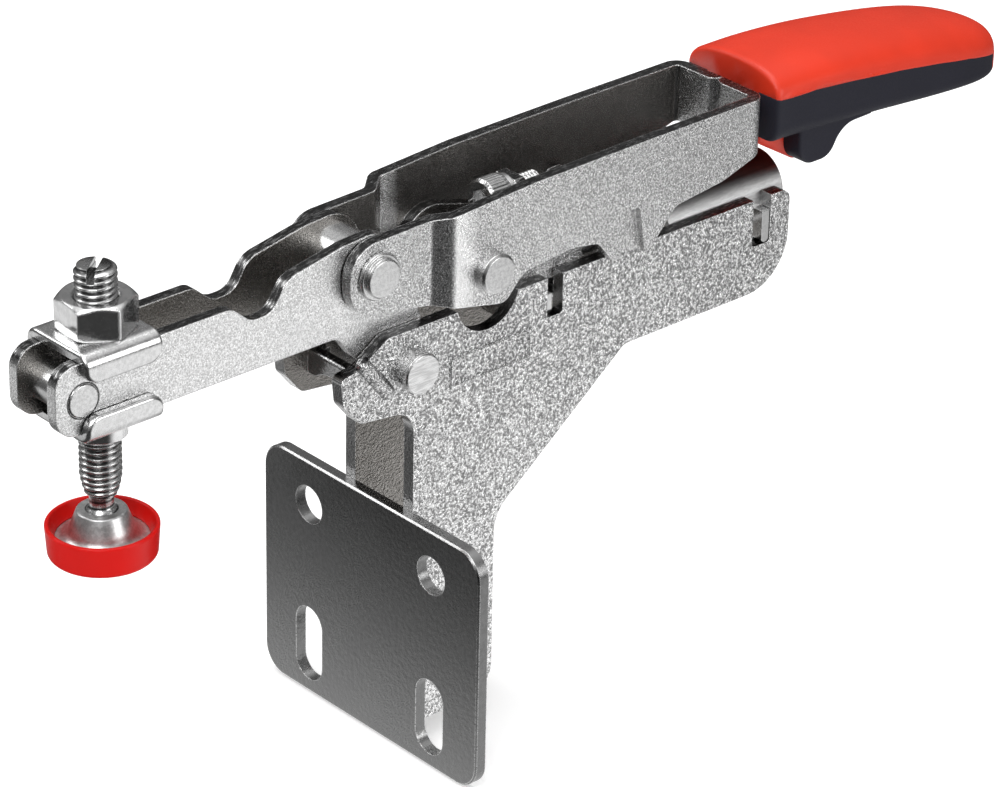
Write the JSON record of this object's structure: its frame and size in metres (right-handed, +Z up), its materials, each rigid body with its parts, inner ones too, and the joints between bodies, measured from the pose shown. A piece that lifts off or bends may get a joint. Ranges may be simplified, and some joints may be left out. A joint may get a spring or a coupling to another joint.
{
  "type": "toggle clamp",
  "caption": "Toggle clamp with vertical mounting plate, riveted open arm, threaded spindle with swivel foot, toggle handle with moulded grip and self-adjusting guide.",
  "frame": {"origin": "centre of the mounting face of the base plate", "axes": "+X from the clamping tip towards the grip, +Z up, so the base plate's mounting face looks towards -X; the clamp is alike on both sides of the XZ plane"},
  "size_m": [0.2444, 0.0636, 0.1209],
  "materials": {
    "dark_steel": "dark phosphated steel, slightly uneven",
    "galvanised_steel": "zinc plated sheet, coarse grain",
    "plated_steel": "zinc plated sheet, fine satin grain",
    "ground_steel": "turned and ground steel",
    "bright_steel": "bright plated steel",
    "thread_steel": "rolled thread, bright zinc",
    "red_plastic": "hard moulded plastic, satin",
    "red_rubber": "moulded elastomer cap, satin",
    "dark_rubber": "soft moulded elastomer, matt"
  },
  "bodies": {
    "frame": {"base_plate": "dark_steel", "frame_body": "galvanised_steel", "arm_pivot_rivet": "ground_steel", "guide_plate_front": "bright_steel", "guide_plate_rear": "bright_steel", "guide_bar": "ground_steel", "guide_cover": "bright_steel"},
    "arm": {"arm_plate_left": "plated_steel", "arm_plate_right": "plated_steel", "tip_sleeve": "ground_steel", "tip_rivet": "ground_steel", "arm_sleeve": "ground_steel", "pivot_sleeve": "ground_steel", "handle_pivot_rivet": "ground_steel"},
    "saddles": {"saddle_upper": "bright_steel", "saddle_lower": "bright_steel", "saddle_bush": "bright_steel"},
    "upper_nut": {"nut_upper": "bright_steel"},
    "spindle": {"spindle": "thread_steel"},
    "foot": {"foot_cup": "thread_steel", "foot_pad": "red_rubber"},
    "handle": {"handle_plate_left": "plated_steel", "handle_plate_right": "plated_steel", "link_rivet": "ground_steel", "grip_core": "red_plastic", "grip_side_left": "dark_rubber", "grip_side_right": "dark_rubber"},
    "link": {"link": "plated_steel", "carriage_pin": "ground_steel", "screw_washer": "bright_steel"},
    "screw": {"adjusting_screw": "bright_steel"},
    "carriage": {"carriage": "dark_steel"}
  },
  "joints": [
    {"name": "arm_pivot", "type": "hinge", "parent": "frame", "child": "arm", "pos_m": [0.0016, 0, 0.0571], "axis": [0, 1, 0], "range_deg": [0, 65]},
    {"name": "handle_pivot", "type": "hinge", "parent": "arm", "child": "handle", "pos_m": [-0.0062, 0, 0.0784], "axis": [0, 1, 0], "range_deg": [-130, 0]},
    {"name": "link_pivot", "type": "hinge", "parent": "handle", "child": "link", "pos_m": [0.019, 0, 0.0727], "axis": [0, 1, 0], "range_deg": [0, 123.5]},
    {"name": "carriage_pivot", "type": "hinge", "parent": "link", "child": "carriage", "pos_m": [0.05, 0, 0.0665], "axis": [0, 1, 0], "range_deg": [-58.5, 0]},
    {"name": "saddle_slide", "type": "slide", "parent": "arm", "child": "saddles", "axis": [1, 0, 0], "range_m": [0, 0.015]},
    {"name": "spindle_travel", "type": "slide", "parent": "saddles", "child": "spindle", "axis": [0, 0, 1], "range_m": [-0.005, 0.008]},
    {"name": "upper_nut_turn", "type": "hinge", "parent": "saddles", "child": "upper_nut", "pos_m": [-0.0632, 0, 0.086], "axis": [0, 0, 1], "continuous": true},
    {"name": "foot_tilt", "type": "hinge", "parent": "spindle", "child": "foot", "pos_m": [-0.0632, 0, 0.0443], "axis": [0, 1, 0], "range_deg": [-12, 12]},
    {"name": "screw_turn", "type": "hinge", "parent": "link", "child": "screw", "pos_m": [0.0298, 0, 0.0802], "axis": [1, 0, 0], "continuous": true}
  ],
  "couplings": [
    {"joint": "handle_pivot", "follows": "arm_pivot", "ratio": -2},
    {"joint": "link_pivot", "follows": "arm_pivot", "ratio": 1.9},
    {"joint": "carriage_pivot", "follows": "arm_pivot", "ratio": -0.9}
  ]
}
